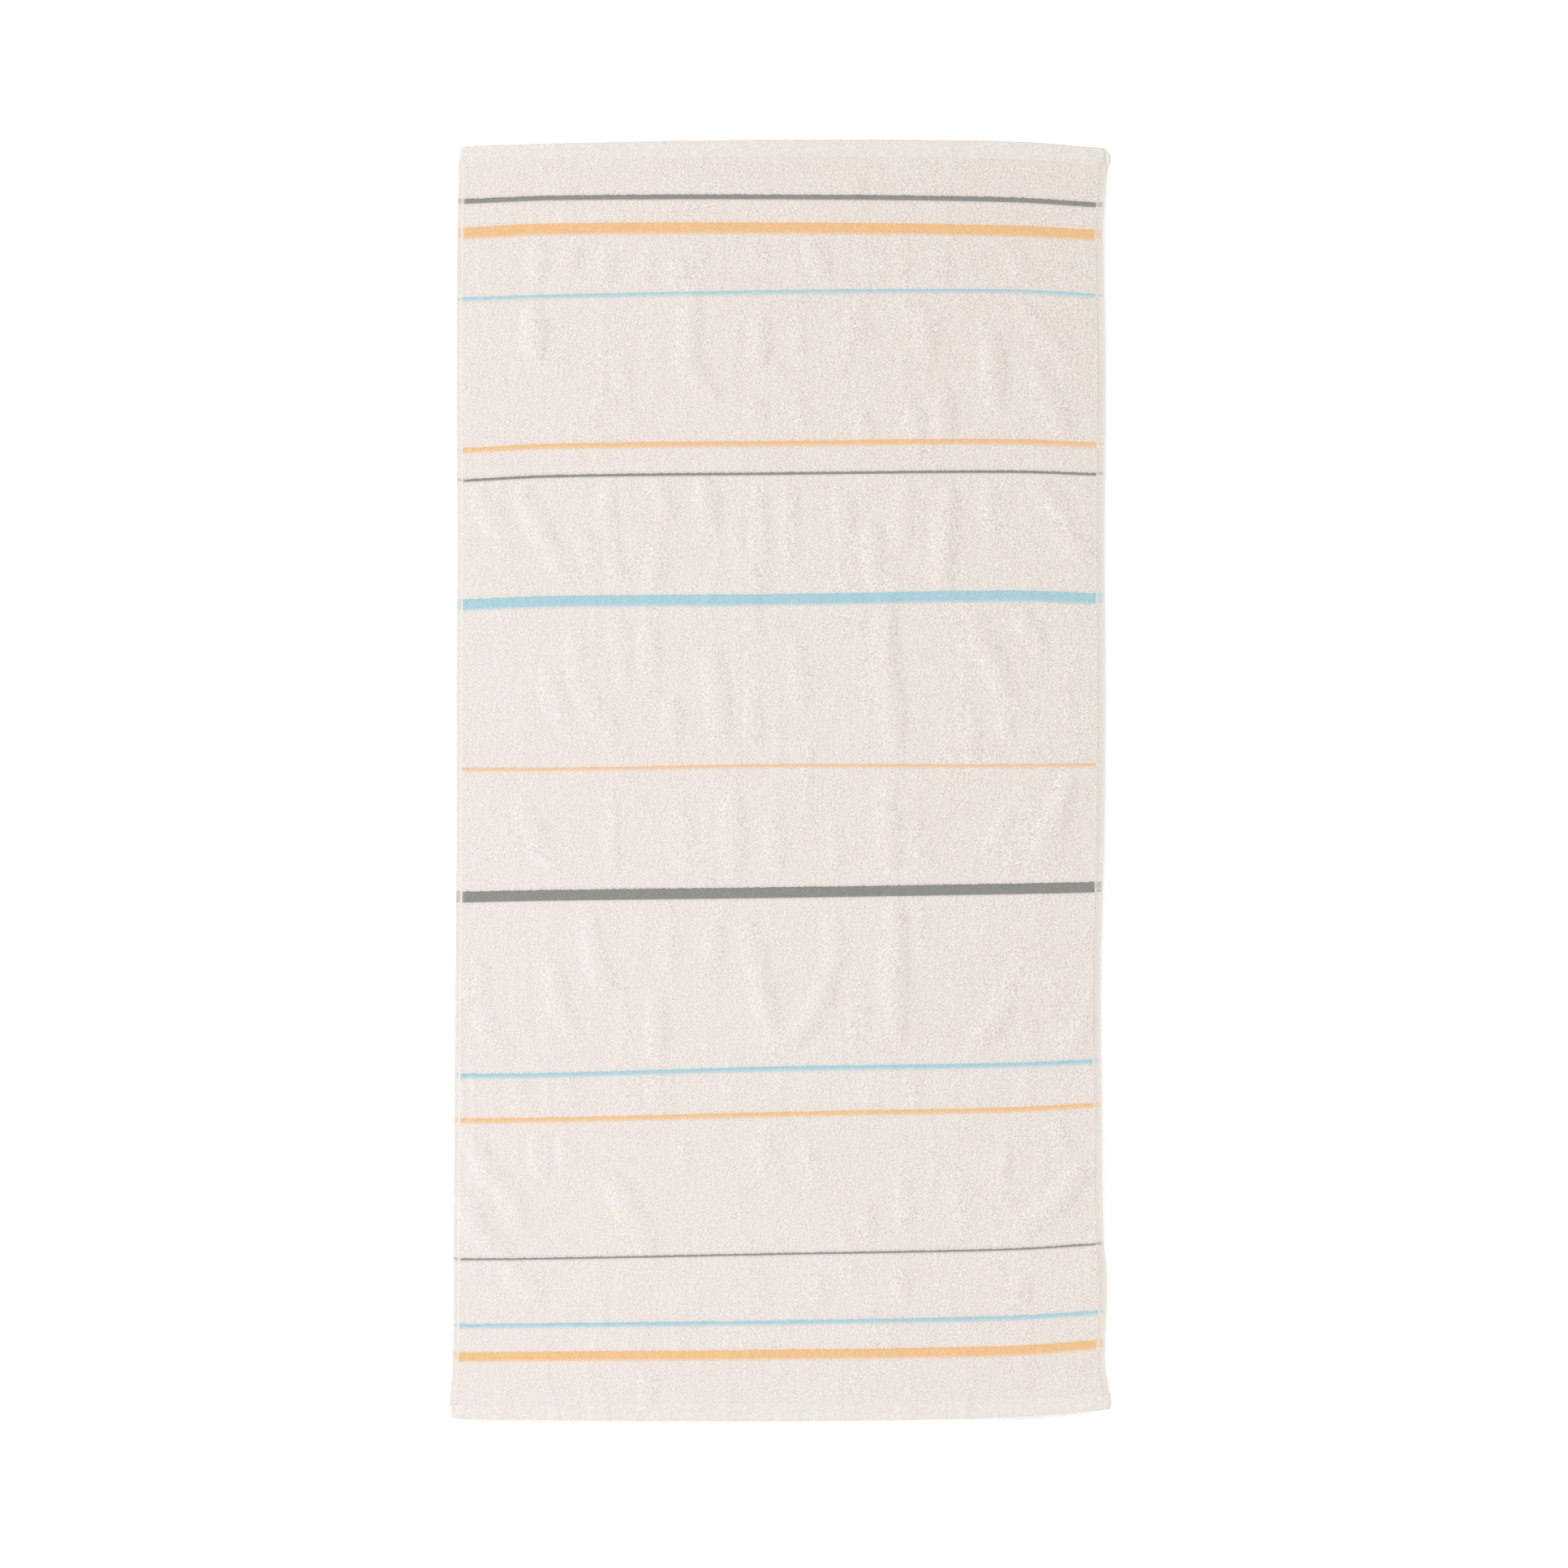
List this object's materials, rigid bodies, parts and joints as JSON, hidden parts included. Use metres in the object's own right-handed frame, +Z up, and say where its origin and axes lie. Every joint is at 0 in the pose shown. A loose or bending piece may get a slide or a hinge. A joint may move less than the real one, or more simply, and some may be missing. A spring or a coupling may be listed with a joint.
{
  "type": "bath towel",
  "caption": "Cotton terry bath towel laid out flat, white with plain woven grey, orange and blue stripes across it and hemmed edges.",
  "frame": {"origin": "on the surface the towel lies on, under the middle of its outline", "axes": "+Z up from that surface, +Y along the towel's length towards its top end, +X across it to the right"},
  "size_m": [0.7232, 1.4042, 0.0052],
  "materials": {
    "cotton": "warm white cotton terry pile, matt",
    "band_orange": "pale orange flat woven weft band, matt",
    "band_blue": "pale blue flat woven weft band, matt",
    "band_grey": "grey flat woven weft band, matt"
  },
  "bodies": {
    "root": {"towel": "cotton"}
  },
  "joints": []
}
